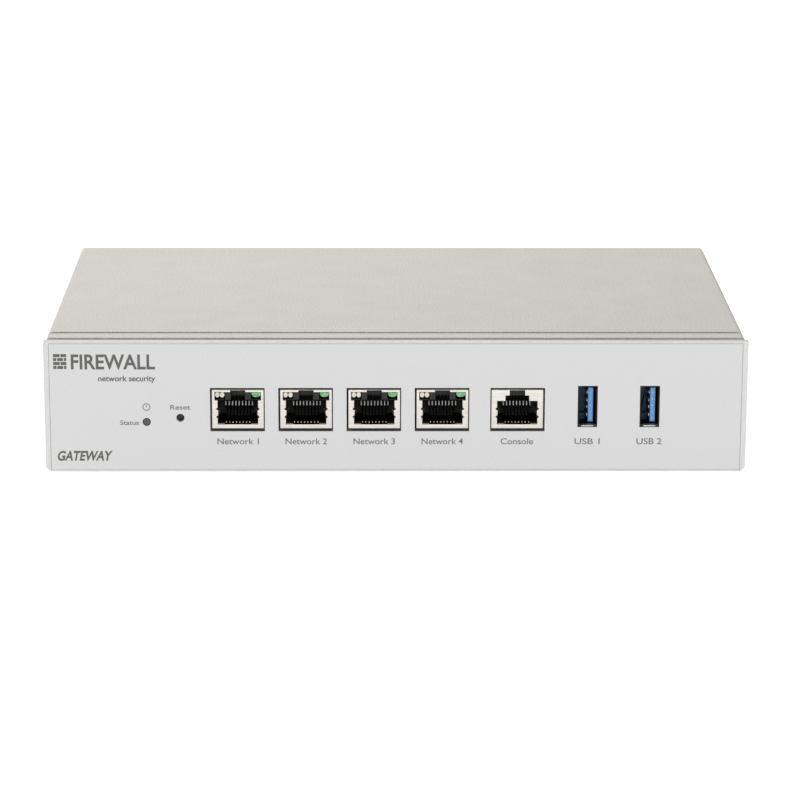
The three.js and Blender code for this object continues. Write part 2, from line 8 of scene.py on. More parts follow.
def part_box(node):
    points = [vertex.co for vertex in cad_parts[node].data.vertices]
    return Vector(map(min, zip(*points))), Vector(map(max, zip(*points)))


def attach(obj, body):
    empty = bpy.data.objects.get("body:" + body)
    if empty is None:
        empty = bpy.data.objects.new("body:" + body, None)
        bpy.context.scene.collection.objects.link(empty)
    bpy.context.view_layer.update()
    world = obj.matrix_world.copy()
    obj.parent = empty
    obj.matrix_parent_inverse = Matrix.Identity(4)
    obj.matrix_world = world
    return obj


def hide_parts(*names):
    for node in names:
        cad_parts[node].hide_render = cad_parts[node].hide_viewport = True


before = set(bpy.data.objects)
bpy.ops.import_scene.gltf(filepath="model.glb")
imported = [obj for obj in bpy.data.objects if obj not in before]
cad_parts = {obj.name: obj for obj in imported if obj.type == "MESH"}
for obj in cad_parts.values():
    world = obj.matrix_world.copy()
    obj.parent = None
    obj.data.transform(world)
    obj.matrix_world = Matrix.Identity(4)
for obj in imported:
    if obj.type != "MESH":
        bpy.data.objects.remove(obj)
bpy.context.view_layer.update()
mm = 0.001
caseBody = "case"


def deselectAll():
    if bpy.context.object and bpy.context.object.mode != "OBJECT":
        bpy.ops.object.mode_set(mode="OBJECT")
    bpy.ops.object.select_all(action="DESELECT")


def makeActive(piece):
    deselectAll()
    piece.select_set(True)
    bpy.context.view_layer.objects.active = piece


def takeNew(name):
    piece = bpy.context.object
    piece.name = name
    piece.data.name = name
    bpy.ops.object.transform_apply(location=True, rotation=True, scale=True)
    return piece


def addBlock(name, low, high):
    # corners in millimetres
    deselectAll()
    centre = [(a + b) / 2 * mm for a, b in zip(low, high)]
    size = [(b - a) * mm for a, b in zip(low, high)]
    bpy.ops.mesh.primitive_cube_add(size=1, location=centre, scale=size)
    return takeNew(name)


def addRound(name, axis, radius, start, end, vertices=32):
    # start is the centre of one end in millimetres, end the far place along the axis
    deselectAll()
    index = "xyz".index(axis)
    centre = list(start)
    centre[index] = (start[index] + end) / 2
    turn = {"x": (0, math.pi / 2, 0), "y": (-math.pi / 2, 0, 0), "z": (0, 0, 0)}[axis]
    depth = (end - start[index]) * mm
    bpy.ops.mesh.primitive_cone_add(
        vertices=vertices, radius1=radius * mm, radius2=radius * mm, depth=depth,
        location=[c * mm for c in centre], rotation=turn)
    return takeNew(name)


def editFaces(piece, chosen):
    # opens edit mode with the faces selected that the test picks by middle and normal
    makeActive(piece)
    bpy.ops.object.mode_set(mode="EDIT")
    bpy.ops.mesh.select_mode(type="FACE")
    bpy.ops.mesh.select_all(action="DESELECT")
    mesh = bmesh.from_edit_mesh(piece.data)
    for face in mesh.faces:
        face.select_set(chosen(face.calc_center_median() / mm, face.normal))
    bmesh.update_edit_mesh(piece.data)


def shiftFaces(piece, shift, chosen):
    # moves the chosen faces by a shift in millimetres
    editFaces(piece, chosen)
    bpy.ops.transform.translate(value=[c * mm for c in shift])
    bpy.ops.object.mode_set(mode="OBJECT")


def applyModifier(piece, kind, **settings):
    modifier = piece.modifiers.new(kind.title(), kind)
    for key, value in settings.items():
        setattr(modifier, key, value)
    makeActive(piece)
    bpy.ops.object.modifier_apply(modifier=modifier.name)


def roundEdges(piece, width, segments=2, angle=50):
    applyModifier(
        piece, "BEVEL", width=width * mm, segments=segments, limit_method="ANGLE",
        angle_limit=math.radians(angle), use_clamp_overlap=True)
    return piece


def cutAway(piece, *cutters):
    for cutter in cutters:
        applyModifier(piece, "BOOLEAN", operation="DIFFERENCE", solver="EXACT", object=cutter)
        bpy.data.objects.remove(cutter)
    return piece


def addTo(piece, *others):
    for other in others:
        applyModifier(piece, "BOOLEAN", operation="UNION", solver="EXACT", object=other)
        bpy.data.objects.remove(other)
    return piece


def joinAll(name, pieces):
    deselectAll()
    for piece in pieces:
        piece.select_set(True)
    bpy.context.view_layer.objects.active = pieces[0]
    bpy.ops.object.join()
    pieces[0].name = name
    pieces[0].data.name = name
    return pieces[0]


def smoothByAngle(piece, angle=32):
    # smooth across small roundings, while the large faces keep their own flat shading
    makeActive(piece)
    bpy.ops.object.shade_smooth_by_angle(angle=math.radians(angle))
    applyModifier(piece, "WEIGHTED_NORMAL", weight=50, keep_sharp=True)
    return piece


def copyMoved(piece, name, shift):
    # a copy with its own mesh, moved by a shift in millimetres
    copy = piece.copy()
    copy.data = piece.data.copy()
    copy.data.transform(Matrix.Translation(Vector(shift) * mm))
    copy.name = name
    copy.data.name = name
    bpy.context.collection.objects.link(copy)
    return copy


def mergedCopy(node, name):
    # the frame's node as one clean mesh, its flat faces whole again
    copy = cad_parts[node].copy()
    copy.data = copy.data.copy()
    copy.name = name
    copy.data.name = name
    bpy.context.collection.objects.link(copy)
    makeActive(copy)
    bpy.ops.object.mode_set(mode="EDIT")
    bpy.ops.mesh.select_all(action="SELECT")
    bpy.ops.mesh.remove_doubles(threshold=0.002 * mm)
    bpy.ops.mesh.dissolve_limited(angle_limit=math.radians(0.5))
    bpy.ops.object.mode_set(mode="OBJECT")
    return copy


def dress(piece, material, body=caseBody, standsFor=()):
    piece.data.materials.clear()
    piece.data.materials.append(material)
    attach(piece, body)
    if standsFor:
        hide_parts(*standsFor)
    return piece


def nodeBox(node):
    low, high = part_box(node)
    return [c / mm for c in low], [c / mm for c in high]


def srgb(hexColour):
    values = [int(hexColour[i:i + 2], 16) / 255 for i in (1, 3, 5)]
    return [v / 12.92 if v <= 0.04045 else ((v + 0.055) / 1.055) ** 2.4 for v in values] + [1.0]


def addNode(tree, kind, values=None, links=None, **settings):
    node = tree.nodes.new(kind)
    for key, value in settings.items():
        setattr(node, key, value)
    for key, value in (values or {}).items():
        node.inputs[key].default_value = value
    for key, source in (links or {}).items():
        tree.links.new(source, node.inputs[key])
    return node


def startMaterial(name, **values):
    material = bpy.data.materials.new(name)
    material.use_nodes = True
    tree = material.node_tree
    tree.nodes.clear()
    shader = addNode(tree, "ShaderNodeBsdfPrincipled", values)
    addNode(tree, "ShaderNodeOutputMaterial", links={"Surface": shader.outputs["BSDF"]})
    place = addNode(tree, "ShaderNodeTexCoord").outputs["Object"]
    return material, tree, shader, place


def grain(tree, place, size, detail=2.0, stretch=(1, 1, 1)):
    # noise whose lumps are about size millimetres across
    moved = addNode(tree, "ShaderNodeMapping", {"Scale": stretch}, {"Vector": place})
    return addNode(
        tree, "ShaderNodeTexNoise", {"Scale": 1 / (size * mm), "Detail": detail},
        {"Vector": moved.outputs["Vector"]}).outputs["Fac"]


def spread(tree, source, low, high, start=0.3, end=0.7):
    return addNode(
        tree, "ShaderNodeMapRange",
        {"From Min": start, "From Max": end, "To Min": low, "To Max": high},
        {"Value": source}).outputs["Result"]


def blendColours(tree, source, dark, light, start=0.3, end=0.7):
    ramp = addNode(tree, "ShaderNodeValToRGB", links={"Fac": source})
    ramp.color_ramp.elements[0].position = start
    ramp.color_ramp.elements[0].color = srgb(dark)
    ramp.color_ramp.elements[1].position = end
    ramp.color_ramp.elements[1].color = srgb(light)
    return ramp.outputs["Color"]


def addBump(tree, shader, source, height, strength=1.0):
    # height of the relief in millimetres
    bump = addNode(
        tree, "ShaderNodeBump", {"Strength": strength, "Distance": height * mm}, {"Height": source})
    tree.links.new(bump.outputs["Normal"], shader.inputs["Normal"])


def powderCoatedSteel():
    # warm light grey powder coat, baked: finely pebbled, with darker and lighter flecks in the powder
    material, tree, shader, place = startMaterial("powderCoatedSteel", Roughness=0.6)
    fleck = grain(tree, place, 0.55, 4)
    cloud = grain(tree, place, 12, 2)
    mixed = addNode(
        tree, "ShaderNodeMath", {1: 0.1}, {0: cloud, 2: spread(tree, fleck, 0, 0.9, 0, 1)},
        operation="MULTIPLY_ADD").outputs["Value"]
    tree.links.new(blendColours(tree, mixed, "#b8b3ab", "#e1ddd5", 0.3, 0.7), shader.inputs["Base Color"])
    tree.links.new(spread(tree, fleck, 0.5, 0.7), shader.inputs["Roughness"])
    addBump(tree, shader, fleck, 0.05, 0.4)
    return material


def paintedSteel():
    # smooth off-white baked paint on the front plate's edge, a faint orange peel
    material, tree, shader, place = startMaterial("paintedSteel", Roughness=0.4)
    peel = grain(tree, place, 1.1, 1)
    tree.links.new(blendColours(tree, peel, "#d3d4d2", "#dadbd9"), shader.inputs["Base Color"])
    addBump(tree, shader, peel, 0.01, 0.4)
    return material


def printedFilm():
    # matt printed polyester film, cool light grey with a very fine tooth
    material, tree, shader, place = startMaterial("printedFilm", Roughness=0.5)
    tooth = grain(tree, place, 0.5, 2)
    tree.links.new(blendColours(tree, tooth, "#d3d4d3", "#d8d9d8"), shader.inputs["Base Color"])
    tree.links.new(spread(tree, tooth, 0.45, 0.58), shader.inputs["Roughness"])
    addBump(tree, shader, tooth, 0.008, 0.4)
    return material


def screenInk(name, dark, light):
    # screen-printed ink, slightly uneven in density
    material, tree, shader, place = startMaterial(name, Roughness=0.55)
    density = grain(tree, place, 0.3, 2)
    tree.links.new(blendColours(tree, density, dark, light), shader.inputs["Base Color"])
    return material


def nickelPlatedSteel():
    # stamped sheet under bright nickel: warm white metal with faint rolling lines along the strip
    material, tree, shader, place = startMaterial("nickelPlatedSteel", Metallic=1.0)
    lines = grain(tree, place, 0.25, 3, (0.06, 1, 1))
    tree.links.new(blendColours(tree, lines, "#b9b5af", "#cac7c1"), shader.inputs["Base Color"])
    tree.links.new(spread(tree, lines, 0.3, 0.46), shader.inputs["Roughness"])
    addBump(tree, shader, lines, 0.004, 0.4)
    return material


def mouldedPlastic(name, dark, light, low, high, size=0.35):
    # injection-moulded: spark-eroded tooth, sheen that wanders slightly
    material, tree, shader, place = startMaterial(name, IOR=1.5)
    tooth = grain(tree, place, size, 2)
    tree.links.new(blendColours(tree, tooth, dark, light), shader.inputs["Base Color"])
    tree.links.new(spread(tree, tooth, low, high), shader.inputs["Roughness"])
    addBump(tree, shader, tooth, 0.01, 0.35)
    return material


def goldBronzePaintedShade(band, half):
    # spring wire: gold flash where the plug wipes it at the front bend, painted shade above and below where
    # the wire runs back into the dark socket; heights in millimetres
    material, tree, shader, place = startMaterial("goldBronzePaintedShade", Metallic=1.0)
    height = addNode(tree, "ShaderNodeSeparateXYZ", links={"Vector": place}).outputs["Z"]
    offset = addNode(tree, "ShaderNodeMath", {1: band * mm}, {0: height}, operation="SUBTRACT")
    away = addNode(tree, "ShaderNodeMath", links={0: offset.outputs["Value"]}, operation="ABSOLUTE")
    shadeZone = spread(tree, away.outputs["Value"], 0, 1, half * mm, (half + 0.15) * mm)
    tree.links.new(blendColours(tree, shadeZone, "#f6e3bd", "#3f372e", 0, 1), shader.inputs["Base Color"])
    tree.links.new(spread(tree, grain(tree, place, 0.2), 0.25, 0.4), shader.inputs["Roughness"])
    return material


def polycarbonate(name, deep, pale, transmission):
    # light pipe: moulded polycarbonate, milky inside, glossy skin
    material, tree, shader, place = startMaterial(name, IOR=1.58, **{"Transmission Weight": transmission})
    haze = grain(tree, place, 0.5, 2)
    tree.links.new(blendColours(tree, haze, deep, pale, 0.35, 0.65), shader.inputs["Base Color"])
    tree.links.new(spread(tree, haze, 0.12, 0.28), shader.inputs["Roughness"])
    return material


def platedMetal(name, dark, light, low, high, size=0.3, stretch=(1, 1, 1)):
    # small hardware: plated or bare metal with fine tool marks
    material, tree, shader, place = startMaterial(name, Metallic=1.0)
    marks = grain(tree, place, size, 3, stretch)
    tree.links.new(blendColours(tree, marks, dark, light), shader.inputs["Base Color"])
    tree.links.new(spread(tree, marks, low, high), shader.inputs["Roughness"])
    addBump(tree, shader, marks, 0.004, 0.4)
    return material


def glassLaminate():
    # circuit board: green solder mask over copper traces and glass weave
    material, tree, shader, place = startMaterial("glassLaminate", IOR=1.5, Roughness=0.35)
    tracks = addNode(
        tree, "ShaderNodeTexBrick",
        {"Scale": 1 / (14 * mm), "Mortar Size": 0.02, "Color1": srgb("#1f5038"), "Color2": srgb("#1a4630"),
         "Mortar": srgb("#2d6a48")}, {"Vector": place})
    tree.links.new(tracks.outputs["Color"], shader.inputs["Base Color"])
    addBump(tree, shader, grain(tree, place, 0.6), 0.01, 0.4)
    return material


finishes = {
    "case": powderCoatedSteel(),
    "panel": paintedSteel(),
    "film": printedFilm(),
    "ink": screenInk("screenInkGrey", "#716c68", "#7d7873"),
    "boldInk": screenInk("screenInkDarkGrey", "#575553", "#615f5c"),
    "nickel": nickelPlatedSteel(),
    # painted shade: a darkened copy of the nickel for the USB shells, standing for the shade in their mouths
    "shadedNickel": platedMetal("nickelSteelPaintedShade", "#4c4843", "#625d57", 0.35, 0.5),
    # painted shade: a darkened copy of the nickel for the floor tabs, which lie in the socket's shade
    "floorTabShadeNickel": platedMetal("floorNickelPaintedShade", "#7a766f", "#8e8a82", 0.4, 0.55),
    "black": mouldedPlastic("mouldedPbtBlack", "#0d0c0b", "#131211", 0.55, 0.7),
    # painted highlight: light grey standing for the light on the noses of the black comb teeth
    "comb": mouldedPlastic("pbtPaintedHighlightGrey", "#a5a39c", "#cfcdc6", 0.3, 0.45),
    # the network and console wires carry painted shade away from their front bend
    "contact": goldBronzePaintedShade(18.38, 0.22),
    "leaf": platedMetal("goldFlashedBronze", "#dcc6a6", "#f3e4cc", 0.3, 0.45),
    "clearLens": polycarbonate("clearPolycarbonate", "#e2d3c2", "#f4ebe0", 0.15),
    "greenLens": polycarbonate("greenPolycarbonate", "#4f9a55", "#8fd08c", 0.12),
    "smokedLens": polycarbonate("smokedPolycarbonate", "#3c3d3f", "#4b4d4f", 0.1),
    # painted light: a lighter copy of the USB insulator's blue for the nose caps
    "blue": mouldedPlastic("pbtBlueLitCopy", "#4a88c6", "#5e9cd6", 0.35, 0.5),
    # painted shade: a darker copy of the same blue for the USB insulator behind the nose
    "shadedBlue": mouldedPlastic("pbtBluePaintedShade", "#1d3d63", "#264c77", 0.4, 0.55),
    # painted shade: dark navy for the block that stands for the shade deep in the USB sockets
    "navy": mouldedPlastic("pbtNavyPaintedShade", "#15304f", "#1e4068", 0.5, 0.65),
    "darkGrey": mouldedPlastic("mouldedAbsDarkGrey", "#0b0b0b", "#121213", 0.4, 0.55),
    "nylon": mouldedPlastic("mouldedNylonBlack", "#141415", "#1e1e20", 0.35, 0.55),
    "whiteInk": screenInk("padPrintedWhite", "#d5d5d2", "#e2e2df"),
    "epoxy": mouldedPlastic("mouldedEpoxyBlack", "#1c1d1f", "#26272a", 0.5, 0.7),
    "rubber": mouldedPlastic("mouldedRubberBlack", "#151515", "#1f1e1d", 0.75, 0.92, 0.6),
    "zinc": platedMetal("zincPlatedSteel", "#a9abae", "#c6c8ca", 0.28, 0.42),
    "brass": platedMetal("turnedBrass", "#b08d4e", "#cfae6a", 0.25, 0.4, 0.2, (1, 1, 8)),
    "aluminium": platedMetal("extrudedAluminium", "#9fa2a5", "#b6b9bc", 0.32, 0.48, 0.3, (1, 0.04, 1)),
    "board": glassLaminate(),
}
print("materials made:", len(finishes))


caseShape = {"foldEdge": 0.1, "panelEdge": 0.14, "filmEdge": 0.05, "filmDrop": 0.08}


def makeCase():
    for node, name in [("chassis_base", "chassisBase"), ("top_cover", "topCover")]:
        shell = roundEdges(mergedCopy(node, name), caseShape["foldEdge"])
        dress(smoothByAngle(shell), finishes["case"], standsFor=[node])
    plate = roundEdges(mergedCopy("front_panel", "frontPanel"), caseShape["panelEdge"], 3)
    dress(smoothByAngle(plate), finishes["panel"], standsFor=["front_panel"])
    film = mergedCopy("front_face_sheet", "faceSheet")
    lowest = nodeBox("front_face_sheet")[0][2]
    # the film sits down on the lower rim
    shiftFaces(film, (0, 0, -caseShape["filmDrop"]), lambda middle, normal: middle.z < lowest + 0.01)
    roundEdges(film, caseShape["filmEdge"])
    dress(smoothByAngle(film), finishes["film"], standsFor=["front_face_sheet"])


makeCase()
print("case done")


socketShape = {
    "half": 7.95, "height": 12.35, "depth": 21, "face": 0.15, "housingHalf": 7.55, "housingTop": 11.95,
    "wall": 0.3, "corner": 0.35, "plugHalf": 6.13, "plugFloor": 1.39, "plugTop": 9.19, "plugDepth": 13,
    "lampHalf": 7.03, "lampTop": 11.52, "latchHalf": 2.28, "latchTop": 12.05, "latchDepth": 7,
    "steps": [(3.6, 10.45), (2.35, 12.05)], "consoleTop": 8.75,
    "notchHeights": [3.75, 6.25], "notch": 0.45, "contacts": 8, "pitch": 1.016, "wire": 0.19,
    "combAside": 0.13, "networkAside": 0.12, "consoleAside": -0.1,
}


def socketPlace(node):
    low, high = nodeBox(node)
    # the sockets sit a hair off the middle of their openings
    aside = socketShape["consoleAside" if node.startswith("console") else "networkAside"]
    return (low[0] + high[0]) / 2 + aside, low[1] - socketShape["face"], low[2]


def addAt(origin, name, x0, x1, y0, y1, z0, z1):
    ox, oy, oz = origin
    return addBlock(name, (ox + x0, oy + y0, oz + z0), (ox + x1, oy + y1, oz + z1))


def wayCutters(origin, kind, y0, y1, latchEnd, shrink=0.0):
    s = socketShape
    floor = s["plugFloor"] + shrink
    if kind == "ethernet":
        sizes = [(s["plugHalf"], floor, s["plugTop"]), (s["latchHalf"], s["plugTop"] - 1, s["latchTop"])]
    else:
        sizes = [(s["plugHalf"], floor, s["consoleTop"])]
        sizes += [(half, floor + 1, top) for half, top in s["steps"]]
    cutters = []
    for i, (half, z0, z1) in enumerate(sizes):
        end, top = (latchEnd, z1) if i else (y1, z1 - shrink)
        cutters.append(addAt(origin, "wayCutter", -half + shrink, half - shrink, y0, end, z0, top))
    return cutters


def makeShield(origin, kind, name):
    s = socketShape
    half, face, wall = s["half"], s["face"], s["wall"]
    can = addAt(origin, name, -half, half, face, s["depth"], 0, s["height"])
    roundEdges(can, s["corner"], 3)
    hollow = addAt(
        origin, "hollow", -half + wall, half - wall, face + wall, s["depth"] - wall, -1, s["height"] - wall)
    cutAway(can, hollow, *wayCutters(origin, kind, -1, 2, 2))
    if kind == "ethernet":
        lamp = s["lampHalf"]
        cutAway(can, addAt(origin, "lampCutter", -lamp, lamp, -1, 2, s["plugTop"] - 0.3, s["lampTop"]))
    for side in (-1, 1):
        for height in s["notchHeights"]:
            # small three-cornered relief beside each spring tab
            start = (origin[0] + side * (s["plugHalf"] + 0.05), origin[1] - 1, origin[2] + height)
            cutAway(can, addRound("notch", "y", s["notch"], start, origin[1] + 2, 4))
    roundEdges(can, 0.05, 2)
    tabs = []
    for side in (-1, 1):
        low, high = s["notchHeights"]
        tab = addAt(origin, "springTab", -0.13, 0.13, 0.2, 4.2, low + 0.45, high - 0.45)
        # bent inwards towards the plug
        shiftFaces(tab, (-side * 0.75, 0, 0), lambda middle, normal: normal.y > 0.5)
        tab.data.transform(Matrix.Translation((side * 6.1 * mm, 0, 0)))
        tabs.append(roundEdges(tab, 0.04, 2))
    shield = joinAll(name, [can] + tabs)
    return smoothByAngle(shield)


def makeFloorTabs(origin, name):
    # two flat metal tabs on the socket's floor, one each side of the contacts
    tabs = []
    for x0, x1 in [(-6.0, -4.0), (4.0, 6.0)]:
        tabs.append(addAt(origin, "floorTab", x0, x1, 0.46, 2.6, 1.45, 1.64))
    return smoothByAngle(joinAll(name, tabs))


def makeHousing(origin, kind, name):
    s = socketShape
    half = s["housingHalf"]
    body = addAt(origin, name, -half, half, 0.5, 20.6, 0, s["housingTop"])
    cutAway(body, *wayCutters(origin, kind, -1, s["plugDepth"], s["latchDepth"], 0.12))
    if kind == "ethernet":
        # pockets for the two light pipes, each with a low sill that shows under its lens
        for x0, x1 in [(-7.0, -3.85), (3.95, 7.0)]:
            cutAway(body, addAt(origin, "pocket", x0, x1, -1, 7, 9.25, 11.6))
    # a trough in the floor that the contacts rise from
    cutAway(body, addAt(origin, "trough", -3.9, 3.9, 0.2, 12.5, 0.9, 2.2))
    roundEdges(body, 0.08, 2)
    ribs = []
    for i in range(s["contacts"] + 1):
        x = (i - s["contacts"] / 2) * s["pitch"] + s["combAside"]
        rib = addAt(origin, "rib", x - 0.2, x + 0.2, 7.7, 13.1, 3.4, 7.1)
        # the lower end leans back, as on a comb's tooth
        shiftFaces(rib, (0, 2.2, 0), lambda middle, normal: normal.z < -0.5)
        ribs.append(roundEdges(rib, 0.08, 2))
    return smoothByAngle(joinAll(name, [body] + ribs))


def makeCombHighlights(origin, name):
    # painted highlight: light grey noses on the comb's nine black teeth, leaning back so that they catch the
    # light
    s = socketShape
    tips = []
    for i in range(s["contacts"] + 1):
        x = (i - s["contacts"] / 2) * s["pitch"] + s["combAside"]
        tip = addAt(origin, "tip", x - 0.17, x + 0.17, 7.2, 8.2, 5.5, 6.75)
        shiftFaces(tip, (0, 0.45, 0), lambda middle, normal: normal.z > 0.5)
        tips.append(roundEdges(tip, 0.07, 2))
    return smoothByAngle(joinAll(name, tips))


def makeContacts(origin, name):
    # eight spring wires, each bent up at the trough's front and running back to the comb
    s = socketShape
    path = [(3.4, 1.0), (1.9, 1.3), (1.6, 1.75), (2.1, 2.08), (4.5, 2.4), (8.0, 2.9), (12.8, 3.6)]
    curve = bpy.data.curves.new(name, "CURVE")
    curve.dimensions = "3D"
    curve.bevel_depth = s["wire"] * mm
    curve.bevel_resolution = 2
    curve.resolution_u = 6
    curve.use_fill_caps = True
    for i in range(s["contacts"]):
        x = (i - (s["contacts"] - 1) / 2) * s["pitch"]
        spline = curve.splines.new("BEZIER")
        spline.bezier_points.add(len(path) - 1)
        for point, (y, z) in zip(spline.bezier_points, path):
            point.co = Vector((origin[0] + x, origin[1] + y, origin[2] + z)) * mm
            point.handle_left_type = "AUTO"
            point.handle_right_type = "AUTO"
    wires = bpy.data.objects.new(name, curve)
    bpy.context.collection.objects.link(wires)
    makeActive(wires)
    bpy.ops.object.convert(target="MESH")
    return smoothByAngle(bpy.context.object, 50)


def makeClearPipe(origin, name):
    # two upright oval light pipes moulded side by side, with a dark gap between
    lobes = []
    for x in (-6.17, -4.71):
        lobe = addRound("lobe", "y", 0.7, (origin[0] + x, origin[1] + 0.3, origin[2]), origin[1] + 6.4, 40)
        lobe.data.transform(Matrix.Translation((0, 0, -origin[2] * mm)))
        lobe.data.transform(Matrix.Diagonal((1, 1, 1.2, 1)))
        lobe.data.transform(Matrix.Translation((0, 0, (origin[2] + 10.62) * mm)))
        lobes.append(roundEdges(lobe, 0.16, 3, 60))
    return smoothByAngle(joinAll(name, lobes))


def makeGreenPipe(origin, name):
    pipe = addAt(origin, name, 4.15, 6.98, 0.3, 6.4, 9.9, 11.42)
    # deep rounding along the two lower edges gives the lens its belly
    makeActive(pipe)
    bpy.ops.object.mode_set(mode="EDIT")
    bpy.ops.mesh.select_mode(type="EDGE")
    bpy.ops.mesh.select_all(action="DESELECT")
    mesh = bmesh.from_edit_mesh(pipe.data)
    for edge in mesh.edges:
        ends = [v.co / mm for v in edge.verts]
        low = all(abs(e.z - (origin[2] + 9.9)) < 0.01 for e in ends)
        edge.select_set(low and abs(ends[0].y - ends[1].y) > 1)
    bmesh.update_edit_mesh(pipe.data)
    bpy.ops.mesh.bevel(offset=1.1 * mm, segments=6, affect="EDGES")
    bpy.ops.object.mode_set(mode="OBJECT")
    return smoothByAngle(roundEdges(pipe, 0.2, 3, 60))


def makeNetworkSockets():
    first = "ethernet_1"
    home = socketPlace(f"{first}_shield")
    models = {
        "shield": (makeShield(home, "ethernet", "shieldModel"), "nickel", "nickel_plate", ["shield"]),
        "floorTabs": (makeFloorTabs(home, "floorTabModel"), "floorTabShadeNickel", "nickel_plate", []),
        "housing": (makeHousing(home, "ethernet", "housingModel"), "black", "socket_black", ["housing"]),
        "combHighlights": (makeCombHighlights(home, "combHighlightModel"), "comb", "socket_black", []),
        "contacts": (makeContacts(home, "contactModel"), "contact", "nickel_plate", []),
        "linkPipe": (makeClearPipe(home, "linkModel"), "clearLens", "clear_lens", ["link_lens"]),
        "activityPipe": (makeGreenPipe(home, "activityModel"), "greenLens", "green_lens", ["activity_lens"]),
    }
    for number in range(1, 5):
        place = socketPlace(f"ethernet_{number}_shield")
        shift = [a - b for a, b in zip(place, home)]
        for part, (model, finish, slot, nodes) in models.items():
            piece = copyMoved(model, f"network{number}_{part}", shift)
            standsFor = [f"ethernet_{number}_{node}" for node in nodes]
            dress(piece, finishes[finish], standsFor=standsFor)
    for model, *rest in models.values():
        bpy.data.objects.remove(model)


def makeConsoleSocket():
    home = socketPlace("console_shield")
    can = makeShield(home, "console", "console_shieldCan")
    dress(can, finishes["nickel"], standsFor=["console_shield"])
    dress(makeFloorTabs(home, "console_floorTabs"), finishes["floorTabShadeNickel"])
    insulator = makeHousing(home, "console", "console_insulator")
    dress(insulator, finishes["black"], standsFor=["console_housing"])
    dress(makeCombHighlights(home, "console_combTips"), finishes["comb"])
    dress(makeContacts(home, "console_contacts"), finishes["contact"])


makeNetworkSockets()
makeConsoleSocket()
print("network and console sockets done")


usbShape = {
    "wall": 0.3, "flareDepth": 0.45, "tongueFace": 0.1, "crest": 0.55, "crestBack": 5.4,
    "contactHeights": [-3.25, -0.75, 1.25, 3.75], "padHeights": [-4, -2, 0, 2, 4],
    "noseLeft": 0.2, "noseRight": 1.66, "noseBottom": 1.05, "noseTop": 0.4,
}


def makeUsbShell(low, high, name):
    s = usbShape
    wall = s["wall"]
    shell = addBlock(name, low, high)
    roundEdges(shell, 0.3, 3)
    inner = [(low[0] + wall, low[2] + wall), (high[0] - wall, high[2] - wall)]
    hollow = addBlock(
        "hollow", (inner[0][0], low[1] - 1, inner[0][1]), (inner[1][0], high[1] + 1, inner[1][1]))
    cutAway(shell, hollow)
    # the mouth opens out on all four sides to lead the plug in
    mouth = addBlock(
        "mouth", (inner[0][0], low[1] - 0.2, inner[0][1]),
        (inner[1][0], low[1] + s["flareDepth"], inner[1][1]))
    editFaces(mouth, lambda middle, normal: normal.y < -0.5)
    width, height = high[0] - low[0], high[2] - low[2]
    bpy.ops.transform.resize(value=((width - 0.2) / (width - 0.6), 1, (height - 0.1) / (height - 0.6)))
    bpy.ops.object.mode_set(mode="OBJECT")
    cutAway(shell, mouth)
    return smoothByAngle(roundEdges(shell, 0.04, 2, 35))


def makeUsbInsulator(node, name):
    body = mergedCopy(node, name)
    return smoothByAngle(roundEdges(body, 0.12, 2))


def makeUsbNose(node, name):
    # cap over the tongue's front end in a lighter copy of the insulator's blue, painted light on the front
    # face; the insulator behind it is a darker copy, painted shade
    s = usbShape
    low, high = nodeBox(node)
    middle = (low[0] + high[0]) / 2
    nose = addBlock(
        name, (middle + s["noseLeft"], low[1] - 0.08, low[2] + s["noseBottom"]),
        (middle + s["noseRight"], low[1] + 0.5, high[2] - s["noseTop"]))
    return smoothByAngle(roundEdges(nose, 0.1, 3))


def makeUsbSill(low, high, name):
    # flange along the bottom of the mouth, bent up towards the rear
    middle = (low[0] + high[0]) / 2
    sill = addBlock(
        name, (middle - 1.85, low[1] + 0.02, low[2] + 0.12), (middle + 1.85, low[1] + 0.7, low[2] + 0.42))
    shiftFaces(sill, (0, 0, 0.4), lambda centre, normal: normal.y > 0.5)
    return smoothByAngle(roundEdges(sill, 0.05, 2))


def makeUsbShadeBlock(low, high, name):
    # painted shade: a dark navy block in the socket beside and below the tongue, stepped towards the bottom
    middle = (low[0] + high[0]) / 2
    wall = usbShape["wall"] + 0.12
    depth = low[1] + 8.5
    plate = addBlock(
        name, (low[0] + wall, depth, low[2] + wall), (middle + 0.05, depth + 3.5, high[2] - wall))
    step = addBlock(
        "step", (low[0] + wall, depth - 1.6, low[2] + wall), (middle - 0.6, depth + 1, low[2] + 2.6))
    addTo(plate, step)
    return smoothByAngle(roundEdges(plate, 0.12, 2))


def makeUsbCorners(low, high, name):
    # painted shade: dark fillers in the two lower corners of the mouth
    fillers = []
    for x0, x1 in [(low[0] + 0.1, low[0] + 0.98), (high[0] - 0.98, high[0] - 0.1)]:
        filler = addBlock("filler", (x0, low[1] + 0.06, low[2] + 0.1), (x1, low[1] + 1.2, low[2] + 0.85))
        fillers.append(roundEdges(filler, 0.08, 2))
    return smoothByAngle(joinAll(name, fillers))


